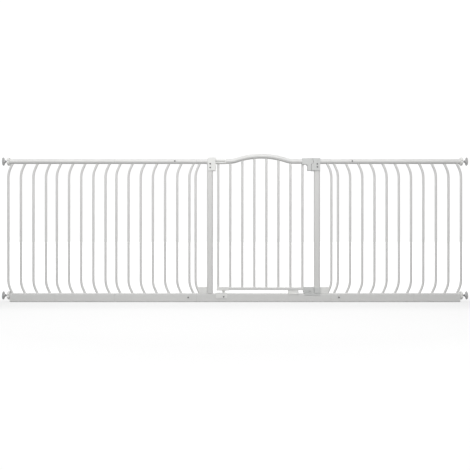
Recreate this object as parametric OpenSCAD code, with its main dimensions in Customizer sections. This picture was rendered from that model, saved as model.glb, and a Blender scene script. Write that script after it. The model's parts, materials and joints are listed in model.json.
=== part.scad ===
// Pressure-fit safety gate with a swinging door and five extension panels.
// X runs along the gate, Y through it, Z up; the floor is Z = 0.
// The origin is under the middle of the gate's whole width.

/* [Frame] */
// Width over the four wall pads
gate_w = 2482; // [2482:1:2508]
// Where the middle of the door frame stands, right of the gate's middle
frame_x = 152.4; // [150:0.1:154]
// Distance between the two posts' centre lines
post_pitch = 572.9; // [572:0.1:574]
// Post width along the gate
post_w = 31.6; // [30:0.1:32]
// Post depth through the gate
post_d = 28; // [27:0.5:29]
// Height of the top rails' axis
top_z = 751; // [750.5:0.1:751.5]
// Outer diameter of the top rails and of the door's arch
tube_d = 25.4; // [25:0.1:25.5]
// Height of the bottom rails
rail_h = 46; // [45.8:0.1:46]
// Depth of the bottom rails
rail_d = 25.4; // [25:0.1:26]
// Wall thickness of the rails and posts
tube_wall = 1.3; // [1:0.1:1.4]

/* [Bars] */
// Outer diameter of every upright bar
bar_d = 12.7; // [12:0.1:12.8]
// Wall thickness of a bar
bar_wall = 1; // [0.8:0.1:1.5]
// How far a bent bar's middle stands away from the door
bend_out = 21.5; // [20:0.1:22]
// Radius of the bends near a bent bar's ends
bend_r = 120; // [110:1:130]
// Angle of those bends
bend_angle = 25; // [24:0.5:26]
// Bar spacing in the inner and middle panels
bar_pitch = 65.2; // [65:0.1:65.4]
// Bar spacing in the two outermost panels
outer_pitch = 67.2; // [67:0.1:67.3]

/* [Door] */
// Bar spacing in the door
door_pitch = 64.4; // [64.3:0.1:64.5]
// Distance of the hinge axis from the left post's centre line
hinge_off = 73.1; // [73:0.1:73.2]
// Rise of the arched top tube's axis
arch_rise = 28; // [26:1:30]
// Angle that each bend of the arch turns through
arch_angle = 18.5; // [18:0.1:19]
// Radius of the bends at the arch's feet
arch_foot_r = 120; // [110:1:130]
// Underside height of the door's bottom rail
door_z = 63.1; // [63:0.1:63.5]
// Height of the door's bottom rail
door_rail_h = 14.5; // [14:0.1:15]

/* [Wall fittings] */
// Diameter of a wall pad's rim
pad_d = 44; // [42:0.5:45]
// Diameter over a hand wheel's lobes
wheel_d = 44; // [42:0.5:44]
// Diameter of the threaded spindles
spindle_d = 9; // [8:0.5:10]
// Height of the lower spindles
low_spindle_z = 35; // [34:0.5:35]

/* [Latches] */
// Diameter of the top latch bolt
bolt_d = 10; // [9:0.5:10]
// Diameter of the base latch bolt
base_bolt_d = 8; // [7:0.5:8]

/* [Hidden] */

$fn = 64;
e = 0.5; // overshoot of cutting shapes
fit = 0.05; // radial clearance of a running fit
run_gap = 0.3; // gap between faces that move past each other
connector_gap = 0.15; // between a rail's inside and what is pushed into it
powder_white = [0.93, 0.93, 0.92];
plastic_white = [0.95, 0.95, 0.94];
latch_grey = [0.83, 0.85, 0.84];
pad_grey = [0.55, 0.55, 0.55];
zinc = [0.75, 0.76, 0.78];

tube_r = tube_d / 2;
tube_in_r = tube_r - tube_wall;
bar_r = bar_d / 2;
rail_round = 5; // corner radius of the bottom rails
post_round = 10; // corner radius of the posts
left_x = frame_x - post_pitch / 2;
right_x = frame_x + post_pitch / 2;
left_face = left_x + post_w / 2; // door side of the left post
right_face = right_x - post_w / 2; // door side of the right post
post_top = top_z + tube_r + 0.4;

// Bent bars: the bend, then a slanted straight down to the rail
bend_h = bend_r * sin(bend_angle);
slant_h = (bend_out - bend_r * (1 - cos(bend_angle))) / tan(bend_angle);
slant_len = slant_h / cos(bend_angle);
bar_low = rail_h;
bar_high = top_z - tube_r;
straight_low = bar_low + slant_h + bend_h;
straight_high = bar_high - slant_h - bend_h;
swell = 0.04; // a bend is this much thicker than the straights beside it
reach = 1; // how far a straight runs into the bend beside it

// Positions of the bars' middles along the gate
side_off = 363.5; // the door frame's own side bars, from the frame's middle
left_side = frame_x - side_off;
right_side = frame_x + side_off;
left_step = [33.1, 57.9, 57.9]; // from the bar before to each left panel's first bar
right_step = [35.3, 66];
left_inner_x = left_side - left_step[0];
left_middle_x = left_inner_x - 6 * bar_pitch - left_step[1];
left_outer_x = left_middle_x - 4 * bar_pitch - left_step[2];
right_inner_x = right_side + right_step[0];
right_outer_x = right_inner_x + 6 * bar_pitch + right_step[1];
// Rail joints: midway between the feet of the bars on either side
left_joint_1 = left_side + bend_out - left_step[0] / 2;
left_joint_2 = left_middle_x + bend_out + left_step[1] / 2;
left_joint_3 = left_outer_x + bend_out + left_step[2] / 2;
right_joint_1 = right_side - bend_out + right_step[0] / 2;
right_joint_2 = right_outer_x - bend_out - right_step[1] / 2;
joint_gap = 0.3; // half of the seam seen at a joint
rail_end = gate_w / 2 - 39; // outer ends of the outermost rails
plug_t = 1.2; // flange of the plug in a rail's end

// Wall fittings, measured inward from the pad's outer face
pad_t = 12;
pad_rim = 2.5;
pad_cone = 4.5; // length of the slope from the rim to the stem
wheel_in = 37.2; // hand wheel's face on the rail side
wheel_out = 25; // hand wheel's face on the wall side
hub_r = 11.5;
hub_len = 1.2;
spindle_in = 125;
spindle_seat = 6; // depth that the spindle enters the pad
collar_t = 2;

// Door
hinge_x = left_x + hinge_off;
door_x = hinge_x - 29; // first door bar
door_bars_n = 8;
last_bar = door_x + (door_bars_n - 1) * door_pitch;
door_top = door_z + door_rail_h;
door_rail_d = 20;
door_rail_round = 3;
door_left = door_x - 6;
door_tube_z = top_z + 0.7;
arch_crown_r = arch_rise / (1 - cos(arch_angle)) - arch_foot_r;
arch_half = (arch_crown_r + arch_foot_r) * sin(arch_angle);
arch_x = 141; // middle of the arch
arch_left = arch_x - arch_half;
arch_right = arch_x + arch_half;
strap_r = 7; // round end of the hinge strap
arch_start = hinge_x + strap_r + 5.5; // left end of the tube, at the hinge fitting
arch_end = last_bar + 7.2; // right end of the tube, in the latch housing
fitting_r = 43.5; // hinge fitting's round end, about the hinge axis
fitting_top = door_tube_z + 13;
fitting_low = door_tube_z - 13.7;
strap_t = 3;
strap_z = door_tube_z - strap_t / 2;
pin_r = 4;
pivot_r = 5;
cup_top = rail_h + 2.5;
pivot_low = 37.5;

// Latches
latch_z = door_tube_z - 2.7;
bolt_r = bolt_d / 2;
base_bolt_r = base_bolt_d / 2;
base_bolt_z = 56;
base_case_x = right_face - 2; // door-post side of the base latch
case_y = 14;
case_low = rail_h + 2.8;
case_high = 80;
finger_w = 31;
finger_h = 8.6;
finger_x = 388;
nose_x = right_face - 4.5; // furthest reach of the latch housing
nose_r = 10.5; // radius of the latch housing's round nose
nose_z = latch_z - 1.5;
nose_tilt = 26; // the nose's upper flank leans this far
leg_x = right_face - 16.5; // door-post side of the housing's leg
leg_w = 19;
leg_low = 702.5;
latch_y = 15; // half of the latch housing's depth
case_x0 = arch_end + 2; // inside of the housing starts here
spring_x0 = right_face - 33;
spring_len = 13;
slide_low = latch_z + 13; // underside of the thumb slide
slide_flange = 2;
thumb_len = 18;
latch_travel = 8;
wire_d = 1.2; // wire of the latch spring
wire_sides = 8;
coil_steps = 16; // spring segments in one turn
coils = 5;
keeper_gap = 1.3; // between the latch housing and the keeper
cover_y = post_d / 2 + 3; // front face of the bracket and the keeper
screw_r = 2;
head_r = 4;
head_t = 1.8;

// ---------- shared shapes ----------

module rounded_rect(w, h, r) {
  square([w - 2 * r, h], center = true);
  square([w, h - 2 * r], center = true);
  for (x = [-1, 1], y = [-1, 1])
    translate([x * (w / 2 - r), y * (h / 2 - r)]) circle(r);
}

// Turns a profile drawn in (Y, Z) into a bar from x0 to x1
module along_x(x0, x1) {
  translate([x0, 0, 0]) rotate([90, 0, 90]) linear_extrude(x1 - x0) children();
}

// Turns an outline drawn in (X, Z) into a slab from y0 to y1
module through_y(y0, y1) {
  translate([0, y1, 0]) rotate([90, 0, 0]) linear_extrude(y1 - y0) children();
}

module x_cylinder(x0, x1, z, r) {
  translate([x0, 0, z]) rotate([0, 90, 0]) cylinder(h = x1 - x0, r = r);
}

module y_cylinder(x, z, y0, y1, r) {
  translate([x, y1, z]) rotate([90, 0, 0]) cylinder(h = y1 - y0, r = r);
}

module ring(r_out, r_in) {
  difference() {
    circle(r_out);
    circle(r_in);
  }
}

module round_tube(x0, x1, z) {
  translate([x0, 0, z]) rotate([0, 90, 0]) linear_extrude(x1 - x0) ring(tube_r, tube_in_r);
}

module bottom_profile(inset) {
  translate([0, rail_h / 2])
    rounded_rect(rail_d - 2 * inset, rail_h - 2 * inset, rail_round - inset);
}

module bottom_tube(x0, x1) {
  along_x(x0, x1) difference() {
    bottom_profile(0);
    bottom_profile(tube_wall);
  }
}

module post_profile(inset) {
  rounded_rect(post_w - 2 * inset, post_d - 2 * inset, post_round - inset);
}

module post_solid(x) {
  translate([x, 0, rail_h]) linear_extrude(post_top - rail_h) post_profile(0);
}

// The bend and the slanted straight at a bent bar's lower end; the bend starts at the origin
module bar_end(side, r_bend, r_straight, extra) {
  translate([side * -bend_r, 0, 0]) rotate([90, 0, 0]) rotate([0, 0, side > 0 ? -bend_angle : 180])
    rotate_extrude(angle = bend_angle) translate([bend_r, 0]) circle(r_bend);
  translate([side * (bend_r * cos(bend_angle) - bend_r), 0, -bend_h])
    rotate([0, 180 + side * bend_angle, 0]) translate([0, 0, -reach])
      cylinder(h = reach + slant_len + extra, r = r_straight);
}

module bar_run(side, r_bend, r_straight, extra) {
  length = straight_high - straight_low;
  translate([0, 0, -reach]) cylinder(h = length + 2 * reach, r = r_straight);
  bar_end(side, r_bend, r_straight, extra);
  translate([0, 0, length]) mirror([0, 0, 1]) bar_end(side, r_bend, r_straight, extra);
}

// A bar whose middle stands away from the door; side is 1 right of the door, -1 left
module bent_bar(side, x, hollow) {
  translate([x, 0, straight_low]) difference() {
    bar_run(side, bar_r, bar_r - swell, 12);
    if (hollow) bar_run(side, bar_r - bar_wall - swell, bar_r - bar_wall, 16);
  }
}

// Cuts what is inside the rails from the bars that stand between them
module between_rails(x0, x1) {
  difference() {
    children();
    translate([x0, -rail_d, -rail_h]) cube([x1 - x0, 2 * rail_d, 2 * rail_h]);
    x_cylinder(x0, x1, top_z, tube_r);
    translate([x0, -rail_d, top_z]) cube([x1 - x0, 2 * rail_d, rail_h]);
  }
}

module screw(x, z, y_face) {
  difference() {
    union() {
      y_cylinder(x, z, y_face - head_t, y_face, head_r);
      y_cylinder(x, z, y_face, y_face + 5, screw_r);
    }
    for (a = [0, 90])
      translate([x, y_face - head_t, z]) rotate([0, a, 0]) cube([4.4, 1.6, 0.9], center = true);
  }
}

module screw_hole(x, z, y_face) {
  y_cylinder(x, z, y_face - e, y_face + 8, screw_r);
}

// ---------- door frame ----------

top_screws = [[-321.3, top_z + 2], [626, top_z + 2]];
bottom_screws = [[-249.5, 25], [554.3, 25]];
bracket_screws = [[left_x + 2, 738], [left_x + 2, 718]];
keeper_screws = [[right_x, 737], [right_x, 721.5]];
cup_screw = [hinge_x + 0.5, 29];

module threshold_rail() {
  color(powder_white) difference() {
    bottom_tube(left_joint_1 + joint_gap, right_joint_1 - joint_gap);
    translate([hinge_x, 0, rail_h - 5]) cylinder(h = 10, r = 9);
    screw_hole(cup_screw[0], cup_screw[1], -rail_d / 2);
  }
}

module left_post() {
  color(powder_white) difference() {
    post_solid(left_x);
    translate([left_x, 0, rail_h - e]) linear_extrude(post_top - rail_h - 1.5) post_profile(tube_wall);
    for (s = bracket_screws) screw_hole(s[0], s[1], -post_d / 2);
  }
}

module right_post() {
  color(powder_white) difference() {
    post_solid(right_x);
    translate([right_x, 0, rail_h - e]) linear_extrude(post_top - rail_h - 1.5) post_profile(tube_wall);
    for (s = keeper_screws) screw_hole(s[0], s[1], -post_d / 2);
    x_cylinder(right_face - 2, right_x - 5, latch_z, bolt_r + 0.4);
    x_cylinder(right_face - 2, right_x - 5, base_bolt_z, base_bolt_r + 0.4);
  }
}

module left_top_stub() {
  color(powder_white) difference() {
    round_tube(left_joint_1 + joint_gap, left_x, top_z);
    post_solid(left_x);
  }
}

module right_top_stub() {
  color(powder_white) difference() {
    round_tube(right_x, right_joint_1 - joint_gap, top_z);
    post_solid(right_x);
  }
}

module left_side_bar() {
  color(powder_white) between_rails(left_side - 30, left_side + 40)
    bent_bar(-1, left_side, true);
}

module right_side_bar() {
  color(powder_white) between_rails(right_side - 40, right_side + 30)
    bent_bar(1, right_side, true);
}

// Plastic spacer between a post's foot and the foot of its side bar
module foot_block(side) {
  block_h = 33.5;
  foot = side_off - bend_out; // where the side bar meets the rail
  face = post_pitch / 2 + post_w / 2;
  lean = tan(bend_angle) * block_h;
  difference() {
    translate([frame_x, 0, 0]) through_y(-11, 11)
      polygon([
        [side * face, rail_h], [side * foot, rail_h],
        [side * (foot + lean), rail_h + block_h], [side * face, rail_h + block_h]
      ]);
    bent_bar(side, frame_x + side * side_off, false);
  }
}

module foot_blocks() {
  color(plastic_white) {
    foot_block(-1);
    foot_block(1);
  }
}

// ---------- rail joints ----------

module round_connector(x0, x1) {
  r = tube_in_r - connector_gap;
  translate([x0, 0, top_z]) rotate([0, 90, 0]) linear_extrude(x1 - x0) ring(r, r - 2);
}

module flat_connector(x0, x1) {
  along_x(x0, x1) difference() {
    bottom_profile(tube_wall + connector_gap);
    bottom_profile(tube_wall + connector_gap + 2);
  }
}

module rail_connectors() {
  short = 55; // how far a connector reaches into each rail
  color(zinc) difference() {
    union() {
      round_connector(left_joint_1 - 130, left_joint_1 + 35);
      round_connector(right_joint_1 - 35, right_joint_1 + 130);
      for (x = [left_joint_2, left_joint_3, right_joint_2]) round_connector(x - short, x + short);
      for (x = [left_joint_1, left_joint_2, left_joint_3, right_joint_1, right_joint_2])
        flat_connector(x - short, x + short);
    }
    for (s = top_screws) screw_hole(s[0], s[1], -tube_r);
    for (s = bottom_screws) screw_hole(s[0], s[1], -rail_d / 2);
  }
}

module joint_screws() {
  color(zinc) {
    for (s = top_screws) screw(s[0], s[1], -tube_r);
    for (s = bottom_screws) screw(s[0], s[1], -rail_d / 2);
  }
}

// ---------- extension panels ----------

module panel_top(x0, x1, holes) {
  color(powder_white) difference() {
    round_tube(x0, x1, top_z);
    for (s = holes) screw_hole(s[0], s[1], -tube_r);
  }
}

module panel_bottom(x0, x1, holes) {
  color(powder_white) difference() {
    bottom_tube(x0, x1);
    for (s = holes) screw_hole(s[0], s[1], -rail_d / 2);
  }
}

module panel_bars(side, first, count, pitch) {
  last = first + side * (count - 1) * pitch;
  color(powder_white) between_rails(min(first, last) - 40, max(first, last) + 40)
    for (i = [0:count - 1]) bent_bar(side, first + side * i * pitch, true);
}

// ---------- wall fittings ----------

// Places a fitting that is drawn for the right wall at [0, 0, 0] on one corner of the gate
module at_wall(side, z) {
  translate([side * gate_w / 2, 0, z]) mirror([side < 0 ? 1 : 0, 0, 0]) children();
}

module end_plug(z, low) {
  difference() {
    union() {
      if (low) {
        along_x(rail_end - 24, rail_end) bottom_profile(tube_wall + connector_gap);
        along_x(rail_end, rail_end + plug_t) bottom_profile(0);
      } else {
        x_cylinder(rail_end - 24, rail_end, z, tube_in_r - connector_gap);
        x_cylinder(rail_end, rail_end + plug_t, z, tube_r);
      }
    }
    x_cylinder(rail_end - 30, rail_end + 5, z, spindle_d / 2 + fit);
  }
}

module rail_end_plugs() {
  color(plastic_white) for (side = [0, 1]) mirror([side, 0, 0]) {
    end_plug(top_z, false);
    end_plug(low_spindle_z, true);
  }
}

module spindle() {
  color(zinc) {
    x_cylinder(-spindle_in, -pad_t + spindle_seat, 0, spindle_d / 2);
    x_cylinder(-pad_t - collar_t, -pad_t, 0, spindle_d / 2 + 1.5);
  }
}

module hand_wheel() {
  lobes = 6;
  lobe_cut = 7;
  chamfer = 2;
  wheel_r = wheel_d / 2;
  wheel_t = wheel_in - wheel_out;
  color(plastic_white) rotate([0, 90, 0]) translate([0, 0, -wheel_in]) difference() {
    union() {
      cylinder(h = hub_len + 1, r = hub_r);
      translate([0, 0, hub_len]) cylinder(h = chamfer, r1 = wheel_r - chamfer, r2 = wheel_r);
      translate([0, 0, hub_len + chamfer]) cylinder(h = wheel_t - hub_len - 2 * chamfer, r = wheel_r);
      translate([0, 0, wheel_t - chamfer]) cylinder(h = chamfer, r1 = wheel_r, r2 = wheel_r - chamfer);
    }
    for (i = [0:lobes - 1])
      rotate([0, 0, i * 360 / lobes + 30]) translate([wheel_r + 3.5, 0, -1])
        cylinder(h = wheel_t + 2, r = lobe_cut);
    translate([0, 0, -1]) cylinder(h = wheel_t + 2, r = spindle_d / 2 + fit);
    translate([0, 0, wheel_t - 3]) cylinder(h = 4, r = 10);
  }
}

module wall_pad() {
  pad_r = pad_d / 2;
  color(pad_grey) rotate([0, 90, 0]) difference() {
    union() {
      translate([0, 0, -pad_rim]) cylinder(h = pad_rim, r = pad_r);
      translate([0, 0, -pad_rim - pad_cone]) cylinder(h = pad_cone, r1 = 9, r2 = pad_r - 1);
      translate([0, 0, -pad_t]) cylinder(h = pad_t - pad_rim, r = 8);
    }
    translate([0, 0, -pad_t - 1]) cylinder(h = spindle_seat + 1, r = spindle_d / 2);
  }
}

// ---------- hinge side ----------

module strap_outline() {
  start = left_face - 3;
  translate([start, -strap_r]) square([hinge_x - start, 2 * strap_r]);
  translate([hinge_x, 0]) circle(strap_r);
}

module hinge_bracket() {
  low = 701;
  high = 772;
  color(plastic_white) difference() {
    translate([left_x - 11, -cover_y, low]) cube([left_face - left_x + 26, 2 * cover_y, high - low]);
    post_solid(left_x);
    translate([hinge_x, 0, low - e]) cylinder(h = high - low + 2 * e, r = fitting_r + 0.6);
    translate([0, 0, strap_z]) linear_extrude(strap_t) strap_outline();
    for (s = bracket_screws) screw_hole(s[0], s[1], -cover_y);
    x_cylinder(left_joint_1, left_x, top_z, tube_r);
    translate([left_x - 12, -cover_y - e, high - 4]) rotate([0, -40, 0]) cube([10, 2 * cover_y + 1, 10]);
  }
}

module hinge_strap() {
  color(powder_white) difference() {
    translate([0, 0, strap_z]) linear_extrude(strap_t) difference() {
      strap_outline();
      translate([hinge_x, 0]) circle(pin_r);
    }
    post_solid(left_x);
  }
}

module hinge_pin() {
  low = fitting_low + 2;
  color(zinc) translate([hinge_x, 0, low]) cylinder(h = fitting_top - 4 - low, r = pin_r);
}

// Saddle over the bottom rail: its top plate and two cheeks
module saddle(x0, x1, low, high) {
  difference() {
    translate([x0, -rail_d / 2 - 2, low]) cube([x1 - x0, rail_d + 4, high - low]);
    along_x(x0 - e, x1 + e) bottom_profile(0);
    translate([x0 - e, -rail_d / 2, low - e]) cube([x1 - x0 + 2 * e, rail_d, rail_h - rail_round - low + e]);
  }
}

module hinge_cup() {
  color(plastic_white) difference() {
    union() {
      saddle(hinge_x - 41, hinge_x + 19, 20, cup_top);
      translate([hinge_x, 0, pivot_low - 3]) cylinder(h = cup_top - pivot_low + 3, r = 9);
    }
    translate([hinge_x, 0, pivot_low - run_gap]) cylinder(h = 20, r = pivot_r + fit);
    screw_hole(cup_screw[0], cup_screw[1], -rail_d / 2 - 2);
  }
}

module cover_screws() {
  color(zinc) {
    for (s = bracket_screws) screw(s[0], s[1], -cover_y);
    for (s = keeper_screws) screw(s[0], s[1], -cover_y);
    screw(cup_screw[0], cup_screw[1], -rail_d / 2 - 2);
  }
}

// ---------- keepers and stop ----------

// Latch housing's outline in (X, Z); grow moves its door-post side outward
module latch_outline(grow) {
  left = last_bar - 3;
  under = nose_z - nose_r; // underside of the handle and of the nose
  flank = nose_r + grow - swell; // the straight sides end just inside the round nose
  polygon([
    [left, under - 1], [left, latch_z + 18], [left + 44, latch_z + 19.5], [nose_x - 9.5 + grow, latch_z + 21],
    [nose_x - nose_r + flank * cos(nose_tilt), nose_z + flank * sin(nose_tilt)],
    [nose_x - nose_r + 4, nose_z], [nose_x - nose_r, nose_z - flank], [leg_x + grow, nose_z - flank],
    [leg_x + grow, leg_low], [leg_x - leg_w, leg_low],
    [leg_x - leg_w, under - 9], [leg_x - leg_w - 7, under - 1.5]
  ]);
}

// Body of the housing, or the room for it in the keeper when it is grown
module latch_body(grow, y) {
  through_y(-y, y) latch_outline(grow);
  y_cylinder(nose_x - nose_r, nose_z, -y, y, nose_r + grow);
}

module latch_keeper() {
  low = 701;
  high = 768;
  color(latch_grey) difference() {
    union() {
      translate([right_face - 15, -cover_y, low]) cube([post_w + 15, 2 * cover_y, high - low]);
      y_cylinder(right_x, high - 8.5, -cover_y - 1, -cover_y, 5);
    }
    post_solid(right_x);
    latch_body(keeper_gap, cover_y + 2);
    for (s = keeper_screws) screw_hole(s[0], s[1], -cover_y);
    x_cylinder(right_face - 16, right_x, latch_z, bolt_r + 0.4);
    x_cylinder(right_x, right_joint_1, top_z, tube_r);
  }
}

module base_keeper() {
  plate_top = rail_h + 2;
  high = 79;
  color(latch_grey) difference() {
    union() {
      saddle(right_face - 52, right_face + post_w, 36, plate_top);
      translate([right_face, -cover_y, plate_top]) cube([post_w, 2 * cover_y, high - plate_top]);
    }
    post_solid(right_x);
    x_cylinder(right_face - 2, right_x, base_bolt_z, base_bolt_r + 0.4);
  }
}

module door_stop() {
  x0 = 283.5;
  x1 = 342;
  color(plastic_white) {
    saddle(x0, x1, 40, rail_h + 1.5);
    through_y(-rail_d / 2 + 1, rail_d / 2 - 1)
      polygon([
        [x0 + 1, rail_h + 1.5], [x1 - 1, rail_h + 1.5], [x1 - 5, door_z - 0.8], [x0 + 1, door_z - 0.8]
      ]);
  }
}

// ---------- door ----------

function arch_z(x) =
  let (d = abs(x - arch_x), foot = arch_foot_r * sin(arch_angle))
  d >= arch_half ? door_tube_z
  : d >= arch_half - foot
    ? door_tube_z + arch_foot_r - sqrt(arch_foot_r * arch_foot_r - (arch_half - d) * (arch_half - d))
  : door_tube_z + arch_rise - arch_crown_r + sqrt(arch_crown_r * arch_crown_r - d * d);

// The arch's whole run: two straight ends, two bends at its feet and the crown between them
module arch_run(r_foot, r_rest, extra) {
  crown_reach = reach * 180 / PI / arch_crown_r; // the crown runs into the bends by this angle
  x_cylinder(arch_start - extra, arch_left + reach, door_tube_z, r_rest);
  x_cylinder(arch_right - reach, arch_end + extra, door_tube_z, r_rest);
  for (side = [0, 1]) translate([arch_x, 0, 0]) mirror([side, 0, 0])
    translate([arch_half, 0, door_tube_z + arch_foot_r]) rotate([90, 0, 0])
      rotate([0, 0, -90 - arch_angle]) rotate_extrude(angle = arch_angle)
        translate([arch_foot_r, 0]) circle(r_foot);
  translate([arch_x, 0, door_tube_z + arch_rise - arch_crown_r]) rotate([90, 0, 0])
    rotate([0, 0, 90 - arch_angle - crown_reach]) rotate_extrude(angle = 2 * arch_angle + 2 * crown_reach)
      translate([arch_crown_r, 0]) circle(r_rest);
}

module door_arch() {
  color(powder_white) difference() {
    arch_run(tube_r, tube_r - swell, 0);
    arch_run(tube_in_r - swell, tube_in_r, 2);
  }
}

module door_rail_profile(inset) {
  translate([0, door_z + door_rail_h / 2])
    rounded_rect(door_rail_d - 2 * inset, door_rail_h - 2 * inset, door_rail_round - inset);
}

module door_bottom_rail() {
  color(powder_white) along_x(door_left, last_bar + 5) difference() {
    door_rail_profile(0);
    door_rail_profile(tube_wall);
  }
}

module door_bars() {
  color(powder_white) difference() {
    for (i = [0:door_bars_n - 1]) {
      x = door_x + i * door_pitch;
      top = i == 0 ? fitting_low + 6 : arch_z(x);
      translate([x, 0, door_top]) linear_extrude(top - door_top) ring(bar_r, bar_r - bar_wall);
    }
    arch_run(tube_r, tube_r - swell, 0);
  }
}

module hinge_fitting() {
  profile_h = fitting_top - fitting_low;
  right = arch_start;
  left = hinge_x - fitting_r;
  color(plastic_white) difference() {
    union() {
      intersection() {
        along_x(left, right) translate([0, (fitting_top + fitting_low) / 2])
          rounded_rect(27, profile_h, 8);
        translate([hinge_x, 0, fitting_low]) cylinder(h = profile_h, r = fitting_r);
      }
      x_cylinder(right, right + 22, door_tube_z, tube_in_r - connector_gap);
    }
    translate([hinge_x, 0, fitting_low - e]) cylinder(h = profile_h - 3.7 + e, r = pin_r + fit);
    translate([left - 1, -20, strap_z - run_gap])
      cube([hinge_x + strap_r + e - left + 1, 40, strap_t + 2 * run_gap]);
    translate([door_x, 0, fitting_low - e]) cylinder(h = 6 + e, r = bar_r);
  }
}

module pivot_bracket() {
  low = door_z - 2;
  high = door_top + 2;
  stem = 6.5; // half of the width around the pin
  color(plastic_white) difference() {
    union() {
      translate([door_left - 2, -door_rail_d / 2 - 2, low])
        cube([hinge_x + 30 - door_left, door_rail_d + 4, high - low]);
      through_y(-8, 8) polygon([
        [hinge_x - 14, low + 1], [hinge_x - stem, low - 5], [hinge_x - stem, cup_top + 2],
        [hinge_x + stem, cup_top + 2], [hinge_x + stem, low - 5], [hinge_x + 14, low + 1]
      ]);
    }
    along_x(door_left, hinge_x + 60) door_rail_profile(0);
    translate([door_x, 0, door_top]) cylinder(h = 10, r = bar_r);
    translate([hinge_x, 0, cup_top]) cylinder(h = low - cup_top + 1, r = pivot_r);
  }
}

module pivot_pin() {
  color(zinc) translate([hinge_x, 0, pivot_low]) cylinder(h = door_z - 1 - pivot_low, r = pivot_r);
}

// ---------- top latch ----------

module latch_housing() {
  wall = 2; // between the stem's room and the spring
  slot_x0 = arch_end + 3;
  slot_len = thumb_len + latch_travel + 1.6;
  flange_room = case_x0 + 38.5;
  ceiling = slide_low + slide_flange + run_gap;
  color(latch_grey) difference() {
    latch_body(0, latch_y);
    x_cylinder(last_bar - 10, arch_end, door_tube_z, tube_r);
    translate([last_bar, 0, leg_low]) cylinder(h = 43, r = bar_r);
    translate([case_x0, -9, latch_z - 8]) cube([spring_x0 - wall - case_x0, 18, ceiling - latch_z + 8]);
    translate([case_x0, -9, slide_low - run_gap]) cube([flange_room - case_x0, 18, slide_flange + 2 * run_gap]);
    translate([slot_x0, -7.4, ceiling - e]) cube([slot_len, 14.8, 10]);
    x_cylinder(spring_x0, spring_x0 + 23.8, latch_z, bolt_r + 2.2);
    x_cylinder(spring_x0 - 5, nose_x + 5, latch_z, bolt_r + fit);
  }
}

module latch_bolt() {
  stem_x = case_x0 + 2;
  collar_x = spring_x0 + spring_len;
  color(zinc) {
    x_cylinder(stem_x, nose_x - 1, latch_z, bolt_r);
    x_cylinder(collar_x, collar_x + 2.5, latch_z, bolt_r + 1.5);
    translate([stem_x, -4, latch_z - 4]) cube([5, 8, slide_low - latch_z + 4]);
  }
}

module latch_thumb_slide() {
  ribs = 5;
  body_h = 3.8;
  color(latch_grey) translate([arch_end + 3.6, 0, slide_low]) {
    translate([0, -8.5, 0]) cube([thumb_len + 10.2, 17, slide_flange]);
    translate([0, -7, 0]) cube([thumb_len, 14, slide_flange + body_h]);
    for (i = [0:ribs - 1])
      translate([2.4 + i * 3, -6, 0]) cube([1.2, 12, slide_flange + body_h + 1]);
  }
}

// Corner j of the spring wire's section, step i along the coil
function wire_point(i, j) =
  let (turn = 360 * i / coil_steps, around = 360 * j / wire_sides)
  let (r = bolt_r + 0.9 + wire_d / 2 * cos(around), pitch = (spring_len - wire_d) / coils)
  [wire_d / 2 + pitch * i / coil_steps + wire_d / 2 * sin(around), r * cos(turn), r * sin(turn)];

module latch_spring() {
  steps = coils * coil_steps;
  color(zinc) translate([spring_x0, 0, latch_z]) polyhedron(
    points = [for (i = [0:steps], j = [0:wire_sides - 1]) wire_point(i, j)],
    faces = concat(
      [[for (j = [0:wire_sides - 1]) wire_sides - 1 - j]],
      [[for (j = [0:wire_sides - 1]) steps * wire_sides + j]],
      [for (i = [0:steps - 1], j = [0:wire_sides - 1])
        let (k = (j + 1) % wire_sides, a = i * wire_sides, b = a + wire_sides) [a + j, a + k, b + k]],
      [for (i = [0:steps - 1], j = [0:wire_sides - 1])
        let (k = (j + 1) % wire_sides, a = i * wire_sides, b = a + wire_sides) [a + j, b + k, b + j]]
    )
  );
}

// ---------- base latch ----------

module base_latch_case() {
  x0 = last_bar + 4;
  color(latch_grey) difference() {
    translate([x0, -case_y, case_low]) cube([base_case_x - x0, 2 * case_y, case_high - case_low]);
    along_x(x0 - e, last_bar + 5) door_rail_profile(0);
    translate([last_bar, 0, door_top]) cylinder(h = 10, r = bar_r);
    translate([x0 + 5, -9, base_bolt_z - 4.6]) cube([base_case_x - x0 - 9, 18, 9.2]);
    through_y(-case_y - e, 0) translate([finger_x, base_bolt_z])
      rounded_rect(finger_w, finger_h, finger_h / 2 - 0.1);
    x_cylinder(base_case_x - 8, base_case_x + e, base_bolt_z, base_bolt_r + fit);
  }
}

module base_latch_slide() {
  tab_w = finger_w - latch_travel - 0.8;
  tab_x = finger_x - finger_w / 2 + 0.5 + tab_w / 2;
  plate_y = -8.7;
  color(latch_grey) {
    x_cylinder(finger_x - 12, base_case_x - 0.5, base_bolt_z, base_bolt_r);
    through_y(-case_y + 0.8, plate_y + 1) translate([tab_x, base_bolt_z]) rounded_rect(tab_w, 7.8, 3.8);
    translate([finger_x - 17.5, plate_y, base_bolt_z - 4.3]) cube([34, 2, 8.6]);
    translate([finger_x - 11, plate_y + 1, base_bolt_z - 3.5]) cube([9, -plate_y, 7]);
  }
}

// ---------- which node to draw ----------

threshold_rail();
left_post();
right_post();
left_top_stub();
right_top_stub();
left_side_bar();
right_side_bar();
foot_blocks();
rail_connectors();
joint_screws();

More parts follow.
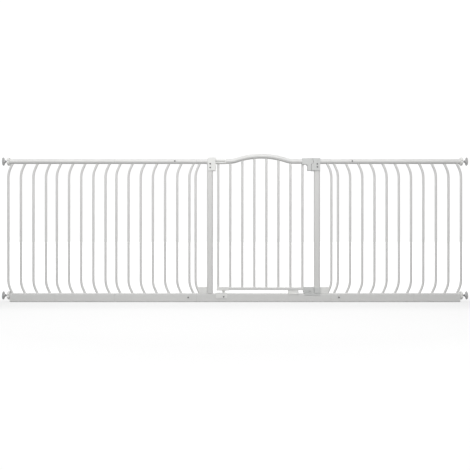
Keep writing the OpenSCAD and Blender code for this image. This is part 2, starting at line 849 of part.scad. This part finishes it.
panel_top(left_joint_2 + joint_gap, left_joint_1 - joint_gap, top_screws);  // left_inner_top_rail
panel_bottom(left_joint_2 + joint_gap, left_joint_1 - joint_gap, bottom_screws);  // left_inner_bottom_rail
panel_bars(-1, left_inner_x, 7, bar_pitch);  // left_inner_bars
panel_top(left_joint_3 + joint_gap, left_joint_2 - joint_gap, []);  // left_middle_top_rail
panel_bottom(left_joint_3 + joint_gap, left_joint_2 - joint_gap, []);  // left_middle_bottom_rail
panel_bars(-1, left_middle_x, 5, bar_pitch);  // left_middle_bars
panel_top(-rail_end, left_joint_3 - joint_gap, []);  // left_outer_top_rail
panel_bottom(-rail_end, left_joint_3 - joint_gap, []);  // left_outer_bottom_rail
panel_bars(-1, left_outer_x, 4, outer_pitch);  // left_outer_bars

panel_top(right_joint_1 + joint_gap, right_joint_2 - joint_gap, top_screws);  // right_inner_top_rail
panel_bottom(right_joint_1 + joint_gap, right_joint_2 - joint_gap, bottom_screws);  // right_inner_bottom_rail
panel_bars(1, right_inner_x, 7, bar_pitch);  // right_inner_bars
panel_top(right_joint_2 + joint_gap, rail_end, []);  // right_outer_top_rail
panel_bottom(right_joint_2 + joint_gap, rail_end, []);  // right_outer_bottom_rail
panel_bars(1, right_outer_x, 4, outer_pitch);  // right_outer_bars

rail_end_plugs();
at_wall(-1, top_z) spindle();  // left_top_spindle
at_wall(-1, top_z) hand_wheel();  // left_top_hand_wheel
at_wall(-1, top_z) wall_pad();  // left_top_wall_pad
at_wall(-1, low_spindle_z) spindle();  // left_low_spindle
at_wall(-1, low_spindle_z) hand_wheel();  // left_low_hand_wheel
at_wall(-1, low_spindle_z) wall_pad();  // left_low_wall_pad
at_wall(1, top_z) spindle();  // right_top_spindle
at_wall(1, top_z) hand_wheel();  // right_top_hand_wheel
at_wall(1, top_z) wall_pad();  // right_top_wall_pad
at_wall(1, low_spindle_z) spindle();  // right_low_spindle
at_wall(1, low_spindle_z) hand_wheel();  // right_low_hand_wheel
at_wall(1, low_spindle_z) wall_pad();  // right_low_wall_pad

hinge_bracket();
hinge_strap();
hinge_pin();
hinge_cup();
cover_screws();
latch_keeper();
base_keeper();
door_stop();

door_arch();
door_bottom_rail();
door_bars();
hinge_fitting();
pivot_bracket();
pivot_pin();
latch_housing();
latch_bolt();
latch_thumb_slide();
latch_spring();
base_latch_case();
base_latch_slide();
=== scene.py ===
import bpy
import bmesh
import json
import math
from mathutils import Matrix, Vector
from mathutils.bvhtree import BVHTree

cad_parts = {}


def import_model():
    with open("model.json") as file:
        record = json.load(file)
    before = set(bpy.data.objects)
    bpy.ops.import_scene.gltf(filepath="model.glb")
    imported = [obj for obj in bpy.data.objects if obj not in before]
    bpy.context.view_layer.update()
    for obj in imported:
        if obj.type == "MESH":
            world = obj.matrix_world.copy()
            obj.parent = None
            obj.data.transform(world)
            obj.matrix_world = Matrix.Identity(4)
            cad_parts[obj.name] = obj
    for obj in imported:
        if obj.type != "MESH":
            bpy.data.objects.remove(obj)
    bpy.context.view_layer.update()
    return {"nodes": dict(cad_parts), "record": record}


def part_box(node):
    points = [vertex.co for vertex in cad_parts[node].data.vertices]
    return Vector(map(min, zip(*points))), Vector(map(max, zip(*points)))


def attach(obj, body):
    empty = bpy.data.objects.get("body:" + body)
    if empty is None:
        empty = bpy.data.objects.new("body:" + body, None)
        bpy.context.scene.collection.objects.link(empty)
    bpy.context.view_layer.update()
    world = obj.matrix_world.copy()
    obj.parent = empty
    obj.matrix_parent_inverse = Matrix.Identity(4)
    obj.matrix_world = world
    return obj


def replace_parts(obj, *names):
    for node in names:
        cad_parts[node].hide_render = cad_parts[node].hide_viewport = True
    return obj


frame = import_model()
nodes = frame["nodes"]
slot_of = {s["node"]: s["material_slot"] for s in frame["record"]["subparts"]}
body_of = {n: b for b, members in frame["record"]["behaviour"]["bodies"].items() for n in members}
scene = bpy.context.scene


# ---------- materials ----------

class Nodes:
    """A material's node tree: add() makes a node and links or sets its inputs."""

    def __init__(self, name):
        self.material = bpy.data.materials.new(name)
        self.material.use_nodes = True
        self.tree = self.material.node_tree
        self.tree.nodes.clear()

    def add(self, kind, inputs=None, **settings):
        node = self.tree.nodes.new(kind)
        for key, value in settings.items():
            setattr(node, key, value)
        for key, value in (inputs or {}).items():
            if isinstance(value, bpy.types.NodeSocket):
                self.tree.links.new(value, node.inputs[key])
            else:
                node.inputs[key].default_value = value
        return node

    def ramp(self, factor, stops):
        node = self.add("ShaderNodeValToRGB", {"Fac": factor})
        ramp = node.color_ramp
        while len(ramp.elements) < len(stops):
            ramp.elements.new(0.5)
        for element, (place, colour) in zip(ramp.elements, stops):
            element.position = place
            element.color = (*colour, 1) if len(colour) == 3 else colour
        return node.outputs["Color"]

    def spread(self, factor, low, high, start=0.0, end=1.0):
        node = self.add("ShaderNodeMapRange", {"Value": factor, "From Min": start, "From Max": end,
                                               "To Min": low, "To Max": high})
        return node.outputs["Result"]


def grey(value, tint=(1, 1, 1)):
    return tuple(value * t for t in tint)


def surface(name, base, rough, metallic=0.0, grain=900.0, grain_depth=0.00002, wave=60.0, wave_depth=0.0002,
            mottle=0.02, tint=(1, 1, 1), coat=0.0, specular=0.5):
    """A procedural finish: fine grain and long waves in the bump, slow changes in colour and roughness."""
    n = Nodes(name)
    place = n.add("ShaderNodeTexCoord").outputs["Object"]
    fine = n.add("ShaderNodeTexNoise", {"Vector": place, "Scale": grain, "Detail": 2.0}).outputs["Fac"]
    broad = n.add("ShaderNodeTexNoise", {"Vector": place, "Scale": wave, "Detail": 3.0}).outputs["Fac"]
    slow = n.add("ShaderNodeTexNoise", {"Vector": place, "Scale": 7.0, "Detail": 4.0}).outputs["Fac"]
    colour = n.ramp(slow, [(0.35, grey(base * (1 - mottle), tint)), (0.65, grey(base * (1 + mottle), tint))])
    roughness = n.spread(broad, rough * 0.85, rough * 1.15)
    bump = n.add("ShaderNodeBump", {"Height": broad, "Distance": wave_depth, "Strength": 0.3})
    bump = n.add("ShaderNodeBump", {"Height": fine, "Distance": grain_depth, "Strength": 0.6,
                                    "Normal": bump.outputs["Normal"]})
    shader = n.add("ShaderNodeBsdfPrincipled", {
        "Base Color": colour, "Roughness": roughness, "Normal": bump.outputs["Normal"],
        "Metallic": metallic, "Coat Weight": coat, "Specular IOR Level": specular})
    n.add("ShaderNodeOutputMaterial", {"Surface": shader.outputs["BSDF"]})
    return n.material


materials = {
    "powder_coat": surface("powder_coat", 0.82, 0.38, grain=700, grain_depth=0.00003, mottle=0.012,
                           tint=(1, 1, 0.985), coat=0.15),
    "white_plastic": surface("white_plastic", 0.93, 0.45, grain=2200, grain_depth=0.00004, mottle=0.01,
                             tint=(1, 1, 0.98)),
    "latch_plastic": surface("latch_plastic", 0.74, 0.5, grain=2200, grain_depth=0.00005, mottle=0.015,
                             tint=(0.985, 1, 0.985)),
    "zinc": surface("zinc", 0.56, 0.36, metallic=1.0, grain=1500, grain_depth=0.00001, mottle=0.08,
                    tint=(1, 1, 1.02)),
    "dark_steel": surface("dark_steel", 0.28, 0.4, metallic=0.85, grain=1500, grain_depth=0.00001,
                          mottle=0.10),
    "pad_rubber": surface("pad_rubber", 0.60, 0.7, grain=1300, grain_depth=0.00006, mottle=0.06,
                          specular=0.3),
}


def finish_node(obj, name):
    if obj.material_slots:
        for s in obj.material_slots:
            s.material = materials[name]
    else:
        obj.data.materials.append(materials[name])


for name, obj in nodes.items():
    finish_node(obj, slot_of[name])


# ---------- shared mesh code ----------

SAME_POINT = 3e-6  # corners of the CAD mesh closer than this are one


def new_piece(name, bm, node):
    """An object with the mesh bm, which moves with a CAD node's body and has its finish."""
    mesh = bpy.data.meshes.new(name)
    bm.to_mesh(mesh)
    bm.free()
    obj = bpy.data.objects.new(name, mesh)
    scene.collection.objects.link(obj)
    mesh.materials.clear()
    mesh.materials.append(materials[slot_of[node]])
    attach(obj, body_of[node])
    return obj


def edge_groups(edges):
    """Edges that touch one another, gathered into groups."""
    left = set(edges)
    groups = []
    while left:
        group, queue = [], [left.pop()]
        while queue:
            edge = queue.pop()
            group.append(edge)
            for vert in edge.verts:
                for other in vert.link_edges:
                    if other in left:
                        left.remove(other)
                        queue.append(other)
        groups.append(group)
    return groups


def span(edges):
    points = [v.co for e in edges for v in e.verts]
    return max(max(p[i] for p in points) - min(p[i] for p in points) for i in range(3))


SOFT = {  # the width of the rounding on each moulded or pressed part
    "hinge_bracket": 0.0016, "hinge_fitting": 0.0005, "hinge_cup": 0.0009, "pivot_bracket": 0.0009,
    "latch_housing": 0.0014, "latch_keeper": 0.0014, "base_keeper": 0.0010, "base_latch_case": 0.0012,
    "base_latch_slide": 0.0006, "latch_thumb_slide": 0.0003, "foot_blocks": 0.0010, "door_stop": 0.0010,
    "rail_end_plugs": 0.0004, "hinge_strap": 0.0003,
}
WHEEL_ROUNDING = 0.0007
PAD_ROUNDING = 0.0008
SMALL_HOLE = 0.011  # the rims of holes smaller than this stay sharp
SHARP = math.radians(33)
KNIFE = math.radians(115)  # edges thinner than this can't be rounded
SMOOTH = math.radians(38)
SHARES = (1.0, 0.8, 0.65, 0.5, 0.35, 0.2)  # of the width, tried in turn until the rounding fits
ATTEMPTS = 9


def roundable(bm, width, crowded):
    """The outer edges of a mesh that can be rounded, except near the crowded points."""
    convex = [e for e in bm.edges if e.is_manifold and e.is_convex and e.calc_face_angle() > SHARP]
    knife = {v for e in convex if e.calc_face_angle() > KNIFE for v in e.verts}
    outer = [e for e in convex if not any(v in knife for v in e.verts)]
    large = [e for group in edge_groups(outer) if span(group) > SMALL_HOLE for e in group]
    clear = 2.2 * width
    return [e for e in large if not any((v.co - c).length < clear for v in e.verts for c in crowded)]


def rounded(plain, width):
    """A copy of a mesh with its outer edges rounded, or None where the rounding keeps running into itself."""
    skin = BVHTree.FromBMesh(plain)
    crowded = []
    for _ in range(ATTEMPTS):
        bm = plain.copy()
        bmesh.ops.bevel(bm, geom=roundable(bm, width, crowded), offset=width, offset_type="OFFSET",
                        segments=3, profile=0.5, affect="EDGES", clamp_overlap=False, miter_outer="ARC",
                        miter_inner="SHARP", loop_slide=True, harden_normals=False)
        astray = [v.co.copy() for v in bm.verts if skin.find_nearest(v.co)[3] > 0.7 * width]
        if not astray:
            return bm
        crowded += astray
        bm.free()
    return None


def soften(node, width):
    """A softened copy of a CAD node, shown in its place, with the widest rounding that fits."""
    plain = bmesh.new()
    plain.from_mesh(nodes[node].data)
    bmesh.ops.remove_doubles(plain, verts=plain.verts, dist=SAME_POINT)
    bmesh.ops.dissolve_degenerate(plain, edges=plain.edges, dist=SAME_POINT)
    bmesh.ops.dissolve_limit(plain, angle_limit=math.radians(0.3), verts=plain.verts, edges=plain.edges)
    for share in SHARES:
        bm = rounded(plain, width * share)
        if bm:
            break
    plain.free()
    if not bm:
        return
    bmesh.ops.dissolve_degenerate(bm, edges=bm.edges, dist=2e-6)
    bmesh.ops.triangulate(bm, faces=[f for f in bm.faces if len(f.verts) > 4])
    for face in bm.faces:
        face.smooth = True
    for edge in bm.edges:
        edge.smooth = edge.is_manifold and edge.calc_face_angle() < SMOOTH
    piece = new_piece(node + "_soft", bm, node)
    normal = piece.modifiers.new("flat", "WEIGHTED_NORMAL")
    normal.keep_sharp = True
    normal.weight = 80
    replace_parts(piece, node)


for name in nodes:
    if name.endswith("_hand_wheel"):
        SOFT[name] = WHEEL_ROUNDING
    if name.endswith("_wall_pad"):
        SOFT[name] = PAD_ROUNDING
for name, width in SOFT.items():
    soften(name, width)


# ---------- weld beads at the feet of the bars ----------

def islands(node):
    """The boxes (low corner, high corner) of the separate solids of a CAD node, in metres."""
    bm = bmesh.new()
    bm.from_mesh(nodes[node].data)
    bm.transform(nodes[node].matrix_world)
    bmesh.ops.remove_doubles(bm, verts=bm.verts, dist=3e-6)
    left, boxes = set(bm.verts), []
    while left:
        queue, points = [left.pop()], []
        while queue:
            vert = queue.pop()
            points.append(vert.co.copy())
            for edge in vert.link_edges:
                other = edge.other_vert(vert)
                if other in left:
                    left.remove(other)
                    queue.append(other)
        boxes.append([[f(p[i] for p in points) for i in range(3)] for f in (min, max)])
    bm.free()
    return boxes


BEAD = 0.0014  # radius of a weld bead
SHORTEST_BAR = 0.3


def bead(bm, x, bar_r, floor_z, seed):
    """A slightly uneven ring of weld around the foot of a bar."""
    around, across = 36, 8
    rings = []
    for i in range(around):
        turn = 2 * math.pi * i / around
        size = BEAD * (1 + 0.10 * math.sin(5 * turn + seed) + 0.07 * math.sin(11 * turn + 2.3 * seed))
        ring = []
        for j in range(across):
            roll = 2 * math.pi * j / across
            r = bar_r + size * (0.15 + 0.85 * math.cos(roll))
            z = floor_z + size * (0.1 + 0.9 * math.sin(roll))
            ring.append(bm.verts.new((x + r * math.cos(turn), r * math.sin(turn), z)))
        rings.append(ring)
    for a, b in zip(rings, rings[1:] + rings[:1]):
        for j in range(across):
            k = (j + 1) % across
            bm.faces.new((a[j], b[j], b[k], a[k])).smooth = True


def weld(bars, bottom_rail):
    """The beads of one panel's bars, on its bottom rail. Bent bars bulge away from the door."""
    bm = bmesh.new()
    floor_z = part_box(bottom_rail)[1][2]
    for k, (a, b) in enumerate(sorted(islands(bars))):
        if b[2] - a[2] < SHORTEST_BAR:
            continue
        r = (b[1] - a[1]) / 2
        foot_x = (a[0] + b[0]) / 2
        if b[0] - a[0] > 3 * r:
            foot_x = a[0] + r if abs(a[0]) < abs(b[0]) else b[0] - r
        bead(bm, foot_x, r, floor_z, 1.7 * k)
    new_piece(bars + "_welds", bm, bars)


# ---------- threads of the spindles ----------

PAD_SEAT = 0.006  # length of the spindle inside its pad
COLLAR = 0.002
COLLAR_STEP = 0.0015  # the collar stands this far above the thread
PITCH = 0.002
THREAD_DEPTH = 0.0008
CHAMFER = 0.0005
COLLAR_CHAMFER = 0.0003
SECTORS = 28


def circle(k):
    return 2 * math.pi * k / SECTORS


def skin_between(bm, a, b, flip):
    """Faces between two closed loops of vertices."""
    for k in range(len(a)):
        m = (k + 1) % len(a)
        face = (a[k], a[m], b[m], b[k])
        bm.faces.new(face[::-1] if flip else face).smooth = True


def closed_tube(bm, loops, flip):
    """A solid through loops of vertices, closed at both ends."""
    for a, b in zip(loops, loops[1:]):
        skin_between(bm, a, b, flip)
    bm.faces.new(loops[0])
    bm.faces.new(loops[-1])


def thread(node):
    """A threaded spindle in the place of the CAD's plain one: seat, collar and core, and a winding ridge."""
    low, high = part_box(node)
    middle = (low + high) / 2
    side = 1 if middle.x > 0 else -1
    wall = high.x if side > 0 else -low.x
    length = high.x - low.x
    collar_r = (high.z - low.z) / 2
    top_r = collar_r - COLLAR_STEP
    core_r = top_r - THREAD_DEPTH

    def point(depth, r, turn):
        return (side * (wall - depth), middle.y + r * math.cos(turn), middle.z + r * math.sin(turn))

    bm = bmesh.new()
    face_in = PAD_SEAT + COLLAR
    outline = [(0, top_r - CHAMFER), (CHAMFER, top_r), (PAD_SEAT, top_r),
               (PAD_SEAT, collar_r - COLLAR_CHAMFER), (PAD_SEAT + COLLAR_CHAMFER, collar_r),
               (face_in - COLLAR_CHAMFER, collar_r), (face_in, collar_r - COLLAR_CHAMFER),
               (face_in, core_r), (length - 0.0006, core_r), (length, core_r - 0.0006)]
    loops = [[bm.verts.new(point(d, r, circle(k))) for k in range(SECTORS)] for d, r in outline]
    closed_tube(bm, loops, side < 0)
    section = ((-0.42, core_r - 0.0002), (-0.10, top_r), (0.10, top_r), (0.42, core_r - 0.0002))
    steps = int((length - face_in - 2.5 * PITCH) / PITCH * SECTORS)
    rings = []
    for i in range(steps + 1):
        start = face_in + PITCH * (0.8 + i / SECTORS)
        rings.append([bm.verts.new(point(start + PITCH * d, r, circle(i))) for d, r in section])
    closed_tube(bm, rings, True)
    bmesh.ops.recalc_face_normals(bm, faces=bm.faces)
    for edge in bm.edges:
        edge.smooth = edge.calc_face_angle(0) < math.radians(35)
    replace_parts(new_piece(node + "_thread", bm, node), node)


for name in sorted(nodes):
    if name.endswith("_spindle"):
        thread(name)
for panel in ("left_inner", "left_middle", "left_outer", "right_inner", "right_outer", "door"):
    weld(panel + "_bars", panel + "_bottom_rail")


# ---------- camera, floor and light ----------

CAMERA_AWAY = 3.5
CAMERA_HEIGHT = 0.358
FRAMED_WIDTH = 2.517  # what the picture takes in at the gate
SENSOR = 36
camera = bpy.data.objects.new("camera", bpy.data.cameras.new("camera"))
scene.collection.objects.link(camera)
camera.data.sensor_width = SENSOR
camera.data.lens = SENSOR * CAMERA_AWAY / FRAMED_WIDTH
camera.location = (0.0, -CAMERA_AWAY, CAMERA_HEIGHT)
camera.rotation_euler = (math.radians(90), 0, 0)
scene.camera = camera


def floor():
    """A pale floor with a painted shadow: its glow is a little weaker in a strip just before the gate; white
    behind it and far away.
    """
    bm = bmesh.new()
    bmesh.ops.create_grid(bm, x_segments=4, y_segments=4, size=30)
    mesh = bpy.data.meshes.new("floor")
    bm.to_mesh(mesh)
    bm.free()
    obj = bpy.data.objects.new("floor", mesh)
    scene.collection.objects.link(obj)
    obj.location = (0, 0, -0.0005)
    n = Nodes("floor")
    camera_ray = n.add("ShaderNodeLightPath").outputs["Is Camera Ray"]
    seen = n.add("ShaderNodeBsdfDiffuse", {"Color": (0.30, 0.30, 0.30, 1)})
    place = n.add("ShaderNodeTexCoord").outputs["Object"]
    depth = n.add("ShaderNodeSeparateXYZ", {0: place}).outputs["Y"]
    # Painted shadow: the floor's glow dips from 0.72 to 0.66 in a strip just before the gate, standing in for
    # the gate's soft shadow.
    painted_shadow = n.spread(depth, 0.72, 0.66, -0.42, -0.20)
    behind = n.spread(depth, 0.0, 0.30, 0.0, 0.6)
    away = n.add("ShaderNodeVectorMath", {0: place}, operation="LENGTH").outputs["Value"]
    far = n.spread(away, 0.0, 0.22, 1.4, 3.2)
    near = n.add("ShaderNodeMath", {0: painted_shadow, 1: behind}, operation="ADD").outputs["Value"]
    lift = n.add("ShaderNodeMath", {0: near, 1: far}, operation="ADD").outputs["Value"]
    glow = n.add("ShaderNodeEmission", {"Color": (1, 1, 1, 1), "Strength": lift})
    shown = n.add("ShaderNodeAddShader")
    n.tree.links.new(seen.outputs[0], shown.inputs[0])
    n.tree.links.new(glow.outputs[0], shown.inputs[1])
    bounce = n.add("ShaderNodeBsdfDiffuse", {"Color": (0.55, 0.55, 0.55, 1)})
    mix = n.add("ShaderNodeMixShader", {0: camera_ray})
    n.tree.links.new(bounce.outputs[0], mix.inputs[1])
    n.tree.links.new(shown.outputs[0], mix.inputs[2])
    n.add("ShaderNodeOutputMaterial", {"Surface": mix.outputs[0]})
    mesh.materials.append(n.material)


def area_light(name, place, target, size_x, size_y, power):
    light = bpy.data.lights.new(name, "AREA")
    light.shape = "RECTANGLE"
    light.size, light.size_y = size_x, size_y
    light.energy = power
    obj = bpy.data.objects.new(name, light)
    scene.collection.objects.link(obj)
    obj.location = place
    obj.rotation_euler = (Vector(target) - Vector(place)).to_track_quat("-Z", "Y").to_euler()


def world(strength):
    """An even white light from all round, with plain white seen behind the gate."""
    w = bpy.data.worlds.new("studio")
    scene.world = w
    w.use_nodes = True
    tree = w.node_tree
    tree.nodes.clear()
    out = tree.nodes.new("ShaderNodeOutputWorld")
    lit = tree.nodes.new("ShaderNodeBackground")
    lit.inputs["Strength"].default_value = strength
    seen = tree.nodes.new("ShaderNodeBackground")
    seen.inputs["Color"].default_value = (1, 1, 1, 1)
    seen.inputs["Strength"].default_value = 1.05
    ray = tree.nodes.new("ShaderNodeLightPath")
    mix = tree.nodes.new("ShaderNodeMixShader")
    tree.links.new(ray.outputs["Is Camera Ray"], mix.inputs[0])
    tree.links.new(lit.outputs[0], mix.inputs[1])
    tree.links.new(seen.outputs[0], mix.inputs[2])
    tree.links.new(mix.outputs[0], out.inputs["Surface"])
    lit.inputs["Color"].default_value = (1, 1, 1, 1)


floor()
world(0.32)
area_light("key", (-0.15, -1.55, 2.05), (0, 0, 0.5), 3.9, 0.9, 44)
area_light("back", (0.0, 2.2, 1.6), (0, 0, 0.4), 3.0, 1.0, 18)
scene.view_settings.view_transform = "Standard"
